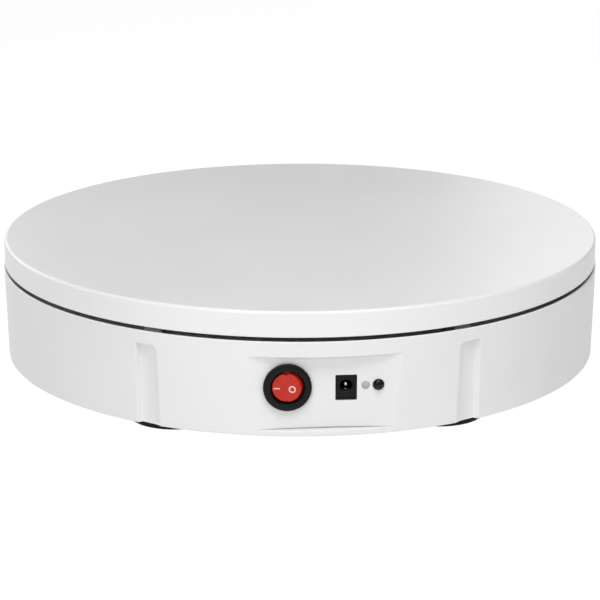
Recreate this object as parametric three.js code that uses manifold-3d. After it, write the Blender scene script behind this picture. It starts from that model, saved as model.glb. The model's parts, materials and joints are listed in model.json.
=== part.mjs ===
// Motorised display turntable: a round platter that a small gearmotor turns on a drum-shaped base.
// Millimetres, +Z up, origin on the ground under the turning axis. The socket panel faces -Y.
import * as THREE from "three";
import { mergeVertices } from "three/addons/utils/BufferGeometryUtils.js";
import Module from "manifold-3d";

const wasm = await Module();
wasm.setup();

// Driving dimensions.
const seatGap = 0.3; // left between two fixed pieces that touch
const runningGap = 0.3; // left round what turns
const rimGap = 1.5; // open slot between the base's rim and the platter's skirt
const ringSides = 60; // facets round the large turned pieces
const drumSides = 24; // facets round the middle-sized ones
const pinSides = 8; // facets round screws and pins

// Drum: its top radius is the overall size, and its height the other.
const base = { topRadius: 150.5, taper: 1.1, height: 46, edge: 0.8, wall: 2.8, rimHeight: 5.5, deck: 2.5 };
const cover = { thickness: 2, inset: 3.2 };
const pattern = { count: 6, start: 27.3 }; // azimuth of the first foot, flute and roller
const flute = { radius: 13.4, depth: 1.8, topMargin: 6.3, lip: 1.2 };
const foot = { radius: 22, drop: 3, margin: 0.7, recessRadius: 4.6, recess: 1.8 };
const footScrew = { headRadius: 3.2, head: 0.9, shankRadius: 1.5, length: 15.7 };
const boss = { wall: 2.9 };

// Panel: a flat recess whose row of fittings runs a little above its middle.
const panel = { depth: 4.5, wall: 2.8, topMargin: 7.9, ledge: 3.7, rowRise: 2.4 };
const rocker = { x: -17.1, radius: 6.7, pivotDepth: 1, faceHeight: 3.1, tilt: 10, valley: 0.4, skirt: 4 };
const bezel = { swing: 1, wall: 1.8, flange: 1.45, proud: 2.3, edge: 0.7, depth: 16, floor: 2 };
const terminal = { width: 4.8, thickness: 0.8, length: 7, spacing: 6 };
const jack = { x: 9.8, width: 9.3, height: 11.5, length: 14.4 };
const jackBore = { height: 6.9, radius: 2.75, depth: 9 };
const jackPin = { radius: 1.05, setback: 1.2, root: 2 };
const lamp = { x: 18.7, radius: 1.8, proud: 0.7, length: 6, collar: 0.6, flange: 1, legs: [-0.9, 0.9] };
const eye = { x: 24.6, radius: 2.75, proud: 1.9, length: 5, collar: 0.65, flange: 1.2, legs: [-1.6, 0, 1.6] };
const leg = { half: 0.35, reach: 2 };
const board = { left: -1, margin: 1.5, depth: 32, thickness: 1.6, front: 1, corner: 4 };
const boardScrew = { headRadius: 2.8, head: 1.2, shankRadius: 1.5, bite: 8, postWall: 1.2 };
const connector = { width: 6, depth: 5, height: 5 };
const chip = { width: 12, depth: 7, height: 1.6 };
const capacitor = { radius: 3, height: 7 };

const track = { width: 14, depth: 1.2 };
const roller = { radius: 5.5, width: 11.2, edge: 0.8, floorGap: 0.5 };
const axle = { radius: 1.5 };
const bracket = { floor: 2, cheek: 2.4, width: 10, crown: 2.2, peg: 1.8, pegSpacing: 10, wallGap: 4.4 };

const platter = { setback: 0.5, edge: 2.2, plate: 4, skirt: 3, hubMargin: 2, hub: 3.5, rib: 2, ribHeight: 3 };
const spindle = { flangeRadius: 16, flange: 3, shoulder: 1.9, thread: 0.7, tail: 2 };
const washer = { inset: 0.2, thickness: 1 };
const nut = { wall: 3.5, height: 6.5 };
const flangeScrew = { count: 3, orbit: 11.5, headRadius: 2.8, head: 1.4, shankRadius: 1.5, bite: 5 };
const bearing = { bore: 5, outside: 13, width: 8, ring: 2.4, groove: 0.6, balls: 7 };
const cage = { width: 1, height: 2.4 };
const housing = { wall: 4, lip: 2, lipReach: 3.5 };

const gear = { module: 2, pressure: 20, ringTeeth: 60, pinionTeeth: 12, backlash: 0.3, face: 10, rim: 3.5 };
const pinion = { face: 8, drop: 0.5, hubWall: 3.2, hubHeight: 3 };
const shaft = { radius: 3, buried: 8.7 };
const motor = { radius: 25, gearbox: 10.7, canRadius: 18, can: 11, spigotWall: 2.7 };
const ear = { thickness: 2, reach: 9, width: 10 };
const motorScrew = { clear: 4.5, headRadius: 2.8, head: 1.2, shankRadius: 1.5 };
const motorPlug = { width: 8, reach: 2, height: 4 };
const cable = { radius: 1.4, floorGap: 1.6 };

// Levels worked out from the stack, ground up.
const baseBottom = foot.drop;
const baseTop = baseBottom + base.height;
const deckTop = baseTop - base.rimHeight;
const deckBottom = deckTop - base.deck;
const coverTop = baseBottom + cover.thickness;
const bracketBottom = deckTop + seatGap;
const rollerBottom = bracketBottom + bracket.floor + roller.floorGap;
const rollerAxis = rollerBottom + roller.radius;
const trackLevel = rollerAxis + roller.radius + runningGap;
const plateBottom = trackLevel + track.depth;
const platterTop = plateBottom + platter.plate;
const skirtBottom = baseTop + rimGap;
const hubBottom = plateBottom - platter.hub;
const flangeTop = hubBottom - seatGap;
const flangeBottom = flangeTop - spindle.flange;
const bearingTop = deckTop - seatGap;
const bearingBottom = bearingTop - bearing.width;
const bearingMiddle = (bearingTop + bearingBottom) / 2;
const washerTop = bearingBottom - seatGap;
const washerBottom = washerTop - washer.thickness;
const nutTop = washerBottom - seatGap;
const nutBottom = nutTop - nut.height;
const gearTop = plateBottom - seatGap;
const gearBottom = gearTop - gear.face;
const pinionBottom = gearBottom - pinion.drop;
const pinionTop = pinionBottom + pinion.face;
const shaftBottom = deckTop - shaft.buried;
const motorTop = deckBottom - seatGap;
const gearboxBottom = motorTop - motor.gearbox;
const canBottom = gearboxBottom - motor.can;
const motorPlugLevel = (gearboxBottom + canBottom) / 2;
const recessBottom = baseBottom + panel.ledge;
const recessTop = baseTop - panel.topMargin;
const rowLevel = (recessBottom + recessTop) / 2 + panel.rowRise;
const jackBottom = rowLevel - jackBore.height + seatGap / 2;
const boardTop = jackBottom - seatGap;
const boardBottom = boardTop - board.thickness;
const plugLevel = boardTop + connector.height * 0.6;

// Radii and places that follow from the same values.
const baseBottomRadius = base.topRadius - base.taper;
const cavityRadius = baseBottomRadius - cover.inset;
const coverRadius = cavityRadius - seatGap;
const pocketRadius = base.topRadius - base.wall;
const platterRadius = base.topRadius - platter.setback;
const footOrbit = cavityRadius - foot.margin - foot.radius;
const footHole = footScrew.shankRadius + seatGap;
const bracketReach = roller.width / 2 + runningGap + bracket.cheek;
const trackOrbit = pocketRadius - bracket.wallGap - bracketReach;
const panelFront = panel.depth - base.topRadius;
const panelBack = panelFront + panel.wall;
const bezelHole = rocker.radius + bezel.swing;
const switchBodyRadius = bezelHole + bezel.wall;
const bezelRadius = switchBodyRadius + bezel.flange;
const boardFront = panelBack + board.front;
const boardBack = boardFront + board.depth;
const boardRight = eye.x + eye.radius + eye.collar + board.margin;
const boardMiddle = (board.left + boardRight) / 2;
const boardScrewPlaces = [board.left + board.corner, boardRight - board.corner].map((x) => [
  x,
  boardBack - board.corner,
]);
const bearingLand = bearing.bore + bearing.ring;
const bearingOuterLand = bearing.outside - bearing.ring;
const ballCircle = (bearingLand + bearingOuterLand) / 2;
const ballRadius = (bearingOuterLand - bearingLand) / 2 + bearing.groove;
const spindleRadius = bearing.bore - seatGap;
const threadRadius = spindleRadius - spindle.thread;
const nutHole = threadRadius + seatGap;
const ringPitch = (gear.module * gear.ringTeeth) / 2;
const pinionPitch = (gear.module * gear.pinionTeeth) / 2;
const gearRoot = ringPitch + 1.25 * gear.module;
const gearOutside = gearRoot + gear.rim;
const motorOrbit = ringPitch - pinionPitch;
const spigotRadius = shaft.radius + runningGap + motor.spigotWall;
const motorScrewReach = motor.radius + motorScrew.clear;
const azimuths = Array.from({ length: pattern.count }, (_, i) => pattern.start + (360 / pattern.count) * i);
const flangeTurns = Array.from({ length: flangeScrew.count }, (_, i) => (2 * Math.PI * i) / flangeScrew.count);

// Geometry helpers: every one gives a closed body with +Z up.
const degrees = Math.PI / 180;

function turned(profile, sides) {
  const points = profile.map(([r, z]) => new THREE.Vector2(r, z));
  return new THREE.LatheGeometry(points, sides).rotateX(Math.PI / 2);
}

function rod(radius, bottom, top, sides) {
  return turned([[0, bottom], [radius, bottom], [radius, top], [0, top]], sides);
}

function block(x0, x1, y0, y1, z0, z1) {
  const box = new THREE.BoxGeometry(x1 - x0, y1 - y0, z1 - z0);
  return box.translate((x0 + x1) / 2, (y0 + y1) / 2, (z0 + z1) / 2);
}

function prism(points, bottom, top, hole) {
  const shape = new THREE.Shape(points.map(([x, y]) => new THREE.Vector2(x, y)));
  if (hole) shape.holes.push(new THREE.Path(hole.map(([x, y]) => new THREE.Vector2(x, y))));
  const body = new THREE.ExtrudeGeometry(shape, { depth: top - bottom, bevelEnabled: false });
  return body.translate(0, 0, bottom);
}

function circlePoints(radius, sides) {
  const angle = (i) => (2 * Math.PI * i) / sides;
  return Array.from({ length: sides }, (_, i) => [radius * Math.cos(angle(i)), radius * Math.sin(angle(i))]);
}

// Turns a piece made along +Z so that it points out of the panel, towards -Y.
function facingOut(geometry) {
  return geometry.rotateX(Math.PI / 2);
}

function solid(geometry) {
  const bare = geometry.clone();
  bare.deleteAttribute("normal");
  bare.deleteAttribute("uv");
  const merged = mergeVertices(bare, 1e-4);
  const vertProperties = new Float32Array(merged.attributes.position.array);
  const triVerts = new Uint32Array(merged.index.array);
  return new wasm.Manifold(new wasm.Mesh({ numProp: 3, vertProperties, triVerts }));
}

function geometryOf(body) {
  const { vertProperties, triVerts, numProp } = body.getMesh();
  const position = new Float32Array((vertProperties.length / numProp) * 3);
  for (let i = 0; i < position.length / 3; i++) {
    for (let axis = 0; axis < 3; axis++) position[3 * i + axis] = vertProperties[numProp * i + axis];
  }
  const geometry = new THREE.BufferGeometry();
  geometry.setAttribute("position", new THREE.BufferAttribute(position, 3));
  geometry.setIndex(new THREE.BufferAttribute(new Uint32Array(triVerts), 1));
  geometry.computeVertexNormals();
  return geometry;
}

const joined = (first, ...others) => others.reduce((body, next) => body.add(solid(next)), solid(first));
const cut = (body, ...tools) => tools.reduce((left, tool) => left.subtract(solid(tool)), body);

// Finishes.
const finishes = {
  whiteShell: { color: 0xeceded, roughness: 0.35, metalness: 0 },
  blackPlastic: { color: 0x1c1e1d, roughness: 0.4, metalness: 0 },
  redPlastic: { color: 0xc01c10, roughness: 0.3, metalness: 0 },
  greyPlastic: { color: 0xc9cacb, roughness: 0.5, metalness: 0 },
  gearPlastic: { color: 0xf3efe2, roughness: 0.45, metalness: 0 },
  rubber: { color: 0x151515, roughness: 0.8, metalness: 0 },
  steel: { color: 0xb8babd, roughness: 0.3, metalness: 1 },
  clearLens: { color: 0xc4c7c8, roughness: 0.15, metalness: 0 },
  circuitBoard: { color: 0x1f5a3a, roughness: 0.5, metalness: 0 },
};

function piece(name, shape, finish) {
  const geometry = shape.isBufferGeometry ? shape : geometryOf(shape);
  const mesh = new THREE.Mesh(geometry, new THREE.MeshStandardMaterial(finishes[finish]));
  mesh.name = name;
  return mesh;
}

// Base: drum wall, deck, bearing housing, screw bosses and board posts in one moulding.
function fluteTool() {
  const centre = (base.topRadius + baseBottomRadius) / 2 - flute.depth + flute.radius;
  const archDrop = Math.sqrt(flute.radius ** 2 - (flute.radius - flute.depth) ** 2);
  const ballLevel = baseTop - flute.topMargin - archDrop;
  const ball = Array.from({ length: 7 }, (_, i) => {
    const angle = (15 * i) * degrees;
    return [flute.radius * Math.cos(angle), ballLevel + flute.radius * Math.sin(angle)];
  });
  ball[6][0] = 0;
  const bottom = baseBottom + flute.lip;
  return turned([[0, bottom], [flute.radius, bottom], ...ball], drumSides).translate(0, -centre, 0);
}

function baseShell() {
  const { edge } = base;
  const drum = turned(
    [
      [0, baseBottom],
      [baseBottomRadius - edge, baseBottom],
      [baseBottomRadius, baseBottom + edge],
      [base.topRadius, baseTop - edge],
      [base.topRadius - edge, baseTop],
      [pocketRadius, baseTop],
      [pocketRadius, deckTop],
      [0, deckTop],
    ],
    ringSides,
  );
  const rebateTop = coverTop + seatGap;
  const behindPanel = block(-base.topRadius, base.topRadius, -base.topRadius, panelBack, rebateTop, baseTop);
  const cavity = solid(rod(cavityRadius, baseBottom - 1, deckBottom, ringSides)).subtract(solid(behindPanel));
  const recess = block(
    -base.topRadius / 2,
    base.topRadius / 2,
    -base.topRadius - 1,
    panelFront,
    recessBottom,
    recessTop,
  );
  let shell = cut(solid(drum).subtract(cavity), recess);

  const housingRadius = bearing.outside + seatGap + housing.wall;
  const housingBottom = bearingBottom - seatGap - housing.lip;
  shell = shell.add(solid(rod(housingRadius, housingBottom, deckTop - base.deck / 2, drumSides)));
  shell = cut(
    shell,
    rod(bearing.outside + seatGap, bearingBottom - seatGap, deckTop + 1, drumSides),
    rod(bearing.outside - housing.lipReach, housingBottom - 1, deckTop, drumSides),
  );

  const bossRadius = footHole + boss.wall;
  const bossBottom = coverTop + seatGap;
  const postTop = deckTop - base.deck / 2;
  for (const azimuth of azimuths) {
    const turn = azimuth * degrees;
    const at = (geometry) => geometry.translate(0, -footOrbit, 0).rotateZ(turn);
    shell = shell.add(solid(at(rod(bossRadius, bossBottom, postTop, pinSides))));
    shell = cut(
      shell,
      at(rod(footHole, bossBottom - 1, foot.recess + footScrew.length, pinSides)),
      fluteTool().rotateZ(turn),
      ...bracketPegs(seatGap, 1).map((peg) => peg.rotateZ(turn)),
    );
  }
  const boardHole = boardScrew.shankRadius + seatGap;
  for (const [x, y] of boardScrewPlaces) {
    const post = rod(boardHole + boardScrew.postWall, boardTop + seatGap, postTop, pinSides);
    const hole = rod(boardHole, boardTop, boardTop + boardScrew.bite + 1, pinSides);
    shell = cut(shell.add(solid(post.translate(x, y, 0))), hole.translate(x, y, 0));
  }

  const throughDeck = (radius, x, sides) =>
    rod(radius + seatGap, deckBottom - 1, deckTop + 1, sides).translate(x, motorOrbit, 0);
  shell = cut(
    shell,
    throughDeck(spigotRadius, 0, drumSides),
    ...[-motorScrewReach, motorScrewReach].map((x) => throughDeck(motorScrew.shankRadius, x, pinSides)),
  );
  const through = (radius, x, sides) =>
    facingOut(rod(radius, -2 * panel.wall, 2 * panel.wall, sides)).translate(x, panelFront, rowLevel);
  const jackHole = block(
    jack.x - jack.width / 2 - seatGap,
    jack.x + jack.width / 2 + seatGap,
    panelFront - 1,
    panelBack + 1,
    jackBottom - seatGap,
    jackBottom + jack.height + seatGap,
  );
  return cut(
    shell,
    through(switchBodyRadius + seatGap, rocker.x, drumSides),
    through(lamp.radius + seatGap, lamp.x, pinSides),
    through(eye.radius + seatGap, eye.x, pinSides),
    jackHole,
  );
}

function bottomCover() {
  let disc = solid(rod(coverRadius, baseBottom, coverTop, ringSides));
  for (const azimuth of azimuths) {
    const hole = rod(footHole, baseBottom - 1, coverTop + 1, pinSides);
    disc = cut(disc, hole.translate(0, -footOrbit, 0).rotateZ(azimuth * degrees));
  }
  return disc;
}

// A foot, its screw, a roller bracket, its axle and its roller stand in one line at each azimuth.
function footPad() {
  const top = foot.drop - seatGap;
  return turned(
    [
      [foot.recessRadius, 0],
      [foot.radius, 0],
      [foot.radius, top],
      [footHole, top],
      [footHole, foot.recess],
      [foot.recessRadius, foot.recess],
      [foot.recessRadius, 0],
    ],
    drumSides,
  );
}

function screw(headRadius, head, shankRadius, bottom, top) {
  const neck = bottom + head;
  const headProfile = [[0, bottom], [headRadius * 0.8, bottom], [headRadius, neck]];
  return turned([...headProfile, [shankRadius, neck], [shankRadius, top], [0, top]], pinSides);
}

function bracketPegs(extra, below) {
  const top = bracketBottom + bracket.floor / 2;
  const bottom = deckBottom + base.deck / 3 - below * base.deck;
  const places = [-trackOrbit - bracket.pegSpacing / 2, -trackOrbit + bracket.pegSpacing / 2];
  return places.map((y) => rod(bracket.peg + extra, bottom, top, pinSides).translate(0, y, 0));
}

// Local frame: the roller's centre, with -Y pointing out from the turning axis.
function rollerBracket() {
  const floorBottom = bracketBottom - rollerAxis;
  const half = bracketReach - bracket.cheek;
  const crown = circlePoints(axle.radius + bracket.crown, 12).filter(([, z]) => z > -0.01);
  const outline = [[-bracket.width / 2, floorBottom], [bracket.width / 2, floorBottom], ...crown];
  const cheeks = [-half - bracket.cheek, half].map((start) =>
    prism(outline, start, start + bracket.cheek).rotateX(Math.PI / 2),
  );
  const floor = block(
    -bracket.width / 2,
    bracket.width / 2,
    -bracketReach,
    bracketReach,
    floorBottom,
    floorBottom + bracket.floor,
  );
  const pegs = bracketPegs(0, 0).map((peg) => peg.translate(0, trackOrbit, -rollerAxis));
  const bore = facingOut(rod(axle.radius + seatGap, -bracketReach - 1, bracketReach + 1, pinSides));
  return cut(joined(floor, ...cheeks, ...pegs), bore);
}

function rollerWheel() {
  const half = roller.width / 2;
  const bore = axle.radius + runningGap;
  const { edge, radius } = roller;
  const profile = [
    [bore, -half],
    [radius - edge, -half],
    [radius, -half + edge],
    [radius, half - edge],
    [radius - edge, half],
    [bore, half],
    [bore, -half],
  ];
  return facingOut(turned(profile, 16));
}

function rollerAxle() {
  return facingOut(rod(axle.radius, -bracketReach, bracketReach, pinSides));
}

// Platter: flat plate, skirt, roller track, hub and the rib that holds the ring gear.
function platterDisc() {
  const { edge } = platter;
  const round = [0, 30, 60, 90].map((angle) => [
    platterRadius - edge + edge * Math.cos(angle * degrees),
    platterTop - edge + edge * Math.sin(angle * degrees),
  ]);
  const skirtInside = platterRadius - platter.skirt;
  const trackOuter = trackOrbit + track.width / 2;
  const trackInner = trackOrbit - track.width / 2;
  const hubRadius = spindle.flangeRadius + platter.hubMargin;
  const ribInner = gearOutside + seatGap;
  const ribBottom = plateBottom - platter.ribHeight;
  const disc = turned(
    [
      [0, hubBottom],
      [hubRadius, hubBottom],
      [hubRadius, plateBottom],
      [ribInner, plateBottom],
      [ribInner, ribBottom],
      [ribInner + platter.rib, ribBottom],
      [ribInner + platter.rib, plateBottom],
      [trackInner, plateBottom],
      [trackInner, trackLevel],
      [trackOuter, trackLevel],
      [trackOuter, plateBottom],
      [skirtInside, plateBottom],
      [skirtInside, skirtBottom],
      [platterRadius, skirtBottom],
      ...round,
      [0, platterTop],
    ],
    ringSides,
  );
  const bite = flangeTop + flangeScrew.bite + seatGap;
  const holes = flangeTurns.map((turn) =>
    rod(flangeScrew.shankRadius + seatGap, hubBottom - 1, bite, pinSides)
      .translate(0, -flangeScrew.orbit, 0)
      .rotateZ(turn),
  );
  return cut(solid(disc), ...holes);
}

// Spindle: flange under the hub, shoulder on the bearing, shaft through it and a threaded tail.
function spindleShaft() {
  const shoulderRadius = bearing.bore + spindle.shoulder;
  const shape = turned(
    [
      [0, nutBottom - spindle.tail],
      [threadRadius, nutBottom - spindle.tail],
      [threadRadius, washerTop],
      [spindleRadius, washerTop],
      [spindleRadius, bearingTop + seatGap],
      [shoulderRadius, bearingTop + seatGap],
      [shoulderRadius, flangeBottom],
      [spindle.flangeRadius, flangeBottom],
      [spindle.flangeRadius, flangeTop],
      [0, flangeTop],
    ],
    drumSides,
  );
  const holes = flangeTurns.map((turn) =>
    rod(flangeScrew.shankRadius + seatGap, flangeBottom - 1, flangeTop + 1, pinSides)
      .translate(0, -flangeScrew.orbit, 0)
      .rotateZ(turn),
  );
  return cut(solid(shape), ...holes);
}

function ringOf(inner, outer, bottom, top, sides) {
  return turned([[inner, bottom], [outer, bottom], [outer, top], [inner, top], [inner, bottom]], sides);
}

function spindleNut() {
  const hexagon = rod(threadRadius + nut.wall, nutBottom, nutTop, 6);
  return cut(solid(hexagon), rod(nutHole, nutBottom - 1, nutTop + 1, drumSides));
}

// Bearing: the ball grooves are arcs about the ball circle.
function groove(side) {
  const grooveRadius = ballRadius + seatGap;
  const opening = Math.acos((bearingOuterLand - ballCircle) / grooveRadius);
  return [1, 0.5, 0, -0.5, -1].map((step) => {
    const across = grooveRadius * Math.cos(opening * step);
    const up = grooveRadius * Math.sin(opening * step);
    return [ballCircle + side * across, bearingMiddle + up];
  });
}

function bearingInnerRace() {
  const profile = [
    [bearing.bore, bearingBottom],
    [bearingLand, bearingBottom],
    ...groove(-1).reverse(),
    [bearingLand, bearingTop],
    [bearing.bore, bearingTop],
    [bearing.bore, bearingBottom],
  ];
  return turned(profile, drumSides);
}

function bearingOuterRace() {
  const profile = [
    [bearingOuterLand, bearingBottom],
    [bearing.outside, bearingBottom],
    [bearing.outside, bearingTop],
    [bearingOuterLand, bearingTop],
    ...groove(1),
    [bearingOuterLand, bearingBottom],
  ];
  return turned(profile, drumSides);
}

function ballSet() {
  const low = bearingMiddle - cage.height / 2;
  const inside = ballCircle - cage.width / 2;
  const ring = ringOf(inside, inside + cage.width, low, low + cage.height, 2 * bearing.balls);
  const balls = Array.from({ length: bearing.balls }, (_, i) =>
    new THREE.SphereGeometry(ballRadius, 8, 5)
      .translate(ballCircle, 0, bearingMiddle)
      .rotateZ((2 * Math.PI * i) / bearing.balls),
  );
  return joined(ring, ...balls);
}

// Involute outline of a gear: flanks from root to tip, mirrored about each tooth's middle.
function gearOutline(teeth, rootRadius, tipRadius, backlash) {
  const pressure = gear.pressure * degrees;
  const pitchRadius = (gear.module * teeth) / 2;
  const baseRadius = pitchRadius * Math.cos(pressure);
  const involute = (angle) => Math.tan(angle) - angle;
  const halfTooth = Math.PI / (2 * teeth) + backlash / (4 * pitchRadius);
  const flankAngle = (radius) => {
    const at = Math.acos(Math.min(1, baseRadius / radius));
    return halfTooth + involute(pressure) - involute(at);
  };
  const start = Math.max(rootRadius, baseRadius);
  const radii = [start, pitchRadius, tipRadius];
  if (rootRadius < baseRadius) radii.unshift(rootRadius);
  const points = [];
  for (let tooth = 0; tooth < teeth; tooth++) {
    const middle = (2 * Math.PI * tooth) / teeth;
    const place = (radius, side) => {
      const angle = middle + side * flankAngle(radius);
      points.push([radius * Math.cos(angle), radius * Math.sin(angle)]);
    };
    radii.forEach((radius) => place(radius, -1));
    [...radii].reverse().forEach((radius) => place(radius, 1));
  }
  return points;
}

function ringGear() {
  const toothSpaces = gearOutline(gear.ringTeeth, ringPitch - 0.8 * gear.module, gearRoot, gear.backlash);
  return prism(circlePoints(gearOutside, ringSides), gearBottom, gearTop, toothSpaces.reverse());
}

function drivePinion() {
  const tip = pinionPitch + gear.module;
  const root = pinionPitch - 1.25 * gear.module;
  const teeth = prism(gearOutline(gear.pinionTeeth, root, tip, -gear.backlash), pinionBottom, pinionTop);
  const boreRadius = shaft.radius + seatGap;
  const hub = rod(boreRadius + pinion.hubWall, pinionBottom - pinion.hubHeight, pinionBottom + 1, drumSides);
  const bore = rod(boreRadius, pinionBottom - pinion.hubHeight - 1, pinionTop + 1, pinSides);
  return cut(joined(teeth, hub), bore);
}

// Gearmotor: gearbox with two ears and a spigot in the deck, and under it a smaller can with a plug.
function gearmotor() {
  const earHalf = motor.radius + ear.reach;
  const earBottom = motorTop - ear.thickness;
  const ears = block(-earHalf, earHalf, -ear.width / 2, ear.width / 2, earBottom, motorTop);
  const plug = block(
    -motorPlug.width / 2,
    motorPlug.width / 2,
    -motor.canRadius - motorPlug.reach,
    -motor.canRadius / 2,
    motorPlugLevel - motorPlug.height / 2,
    motorPlugLevel + motorPlug.height / 2,
  );
  const body = joined(
    rod(motor.radius, gearboxBottom, motorTop, drumSides),
    rod(motor.canRadius, canBottom, gearboxBottom + 1, drumSides),
    rod(spigotRadius, motorTop - 1, deckTop - seatGap, drumSides),
    ears,
    plug,
  );
  const screwHoles = [-motorScrewReach, motorScrewReach].map((x) =>
    rod(motorScrew.shankRadius + seatGap, earBottom - 1, motorTop + 1, pinSides).translate(x, 0, 0),
  );
  const shaftHole = rod(shaft.radius + runningGap, shaftBottom - runningGap, deckTop + 1, pinSides);
  return cut(body, shaftHole, ...screwHoles);
}

// Sockets and indicators on the panel: made along +Z, where 0 is the panel's face, then turned out.
function onPanel(geometry, x) {
  return facingOut(geometry).translate(x, panelFront, rowLevel);
}

function switchHousing() {
  const { proud, edge, depth, floor } = bezel;
  const cup = turned(
    [
      [0, -depth],
      [switchBodyRadius, -depth],
      [switchBodyRadius, seatGap],
      [bezelRadius, seatGap],
      [bezelRadius, proud - edge],
      [bezelRadius - edge, proud],
      [bezelHole, proud],
      [bezelHole, floor - depth],
      [0, floor - depth],
    ],
    drumSides,
  );
  const tabs = [-1, 1].map((side) => {
    const left = (side * terminal.spacing - terminal.thickness) / 2;
    const half = terminal.width / 2;
    return block(left, left + terminal.thickness, -half, half, -depth - terminal.length, 1 - depth);
  });
  return joined(onPanel(cup, rocker.x), ...tabs.map((tab) => onPanel(tab, rocker.x)));
}

// Rocker in its own frame: the pivot is the origin, -Y points out, and the left half is pressed in.
function switchRocker() {
  const { radius, faceHeight, valley, skirt, tilt } = rocker;
  const outline = [
    [-radius - 1, -faceHeight],
    [0, -faceHeight + valley],
    [radius + 1, -faceHeight],
    [radius + 1, skirt],
    [-radius - 1, skirt],
  ];
  const wedge = solid(prism(outline, -radius - 1, radius + 1));
  const disc = solid(facingOut(rod(radius, -skirt, faceHeight, drumSides)));
  return geometryOf(wedge.intersect(disc)).rotateZ(-tilt * degrees);
}

function powerJack() {
  const half = jack.width / 2;
  const back = panelFront + jack.length;
  const body = block(jack.x - half, jack.x + half, panelFront, back, jackBottom, jackBottom + jack.height);
  const bore = onPanel(rod(jackBore.radius, -jackBore.depth, 1, drumSides), jack.x);
  const pinHoleBottom = -jackBore.depth - jackPin.root - seatGap;
  const pinHole = onPanel(rod(jackPin.radius + seatGap, pinHoleBottom, 0, pinSides), jack.x);
  return cut(solid(body), bore, pinHole);
}

function jackCentrePin() {
  const tip = -jackPin.setback;
  const bottom = -jackBore.depth - jackPin.root;
  const { radius } = jackPin;
  const profile = [[0, bottom], [radius, bottom], [radius, tip - radius / 2], [radius / 2, tip], [0, tip]];
  return onPanel(turned(profile, pinSides), jack.x);
}

function domedPart({ x, radius, proud, length, collar, flange, legs }) {
  const rise = Math.min(proud, radius);
  const dome = [0, 30, 60].map((angle) => [
    radius * Math.cos(angle * degrees),
    proud - rise + rise * Math.sin(angle * degrees),
  ]);
  const flangeFront = -panel.wall - seatGap;
  const lens = turned(
    [
      [0, -length - panel.wall],
      [radius, -length - panel.wall],
      [radius, flangeFront - flange],
      [radius + collar, flangeFront - flange],
      [radius + collar, flangeFront],
      [radius, flangeFront],
      ...dome,
      [0, proud],
    ],
    pinSides,
  );
  const back = panelBack + length;
  const end = back + leg.reach;
  const wires = legs.flatMap((offset) => {
    const [left, right] = [x + offset - leg.half, x + offset + leg.half];
    return [
      block(left, right, back - 1, end, rowLevel - leg.half, rowLevel + leg.half),
      block(left, right, end - 2 * leg.half, end, boardTop + seatGap, rowLevel + leg.half),
    ];
  });
  return joined(onPanel(lens, x), ...wires);
}

// Control board, level under the jack, with its soldered parts.
const switchPlug = { left: board.left + 1, front: boardFront + 19 };
const drivePlug = { left: boardMiddle + 1, front: boardFront + 21 };

function controlBoard() {
  const plate = block(board.left, boardRight, boardFront, boardBack, boardBottom, boardTop);
  const low = boardTop - board.thickness / 2;
  const sockets = [switchPlug, drivePlug].map(({ left, front }) =>
    block(left, left + connector.width, front, front + connector.depth, low, boardTop + connector.height),
  );
  const chipBack = switchPlug.front;
  const driver = block(
    boardMiddle - 1,
    boardMiddle - 1 + chip.width,
    chipBack - chip.depth,
    chipBack,
    low,
    boardTop + chip.height,
  );
  const can = rod(capacitor.radius, low, boardTop + capacitor.height, pinSides);
  const holes = boardScrewPlaces.map(([x, y]) =>
    rod(boardScrew.shankRadius + seatGap, boardBottom - 1, boardTop + 1, pinSides).translate(x, y, 0),
  );
  return cut(joined(plate, ...sockets, driver, can.translate(boardMiddle - 4, boardFront + 26, 0)), ...holes);
}

// A cable is a tube on a smooth curve through its points.
function tube(points, steps) {
  const path = new THREE.CatmullRomCurve3(points.map(([x, y, z]) => new THREE.Vector3(x, y, z)));
  const section = new THREE.Shape(circlePoints(cable.radius, 8).map(([x, y]) => new THREE.Vector2(x, y)));
  return new THREE.ExtrudeGeometry(section, { steps, extrudePath: path, bevelEnabled: false });
}

function switchCable() {
  const terminalEnd = panelFront + bezel.depth + terminal.length;
  const middle = switchPlug.front + connector.depth / 2;
  return tube(
    [
      [rocker.x, terminalEnd + seatGap + 1, rowLevel],
      [rocker.x + 1, terminalEnd + 8, rowLevel - 2],
      [rocker.x + 8, terminalEnd + 11, plugLevel + 1],
      [switchPlug.left - 6, middle + 1.5, plugLevel],
      [switchPlug.left - 3, middle, plugLevel],
      [switchPlug.left - seatGap, middle, plugLevel],
    ],
    12,
  );
}

function motorCable() {
  const low = coverTop + cable.floorGap + cable.radius;
  const start = drivePlug.left + connector.width / 2;
  const canSide = motorOrbit - motor.canRadius - motorPlug.reach;
  const [runStart, runEnd] = [boardBack + 20, canSide - 24];
  const along = (share) => runStart + (runEnd - runStart) * share;
  return tube(
    [
      [start, drivePlug.front + connector.depth + seatGap, plugLevel],
      [start + 1, boardBack + 4, plugLevel - 2],
      [start + 3, boardBack + 12, (plugLevel + low) / 2],
      [start + 6, runStart, low],
      [start + 12, along(0.33), low],
      [start + 12, along(0.67), low],
      [start + 4, runEnd, low],
      [4, canSide - 10, (motorPlugLevel + low) / 2],
      [0, canSide - 4, motorPlugLevel],
      [0, canSide - seatGap, motorPlugLevel],
    ],
    30,
  );
}

// Assembly.
const turntable = new THREE.Group();
turntable.add(piece("base_shell", baseShell(), "whiteShell"));
turntable.add(piece("bottom_cover", bottomCover(), "whiteShell"));

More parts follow.
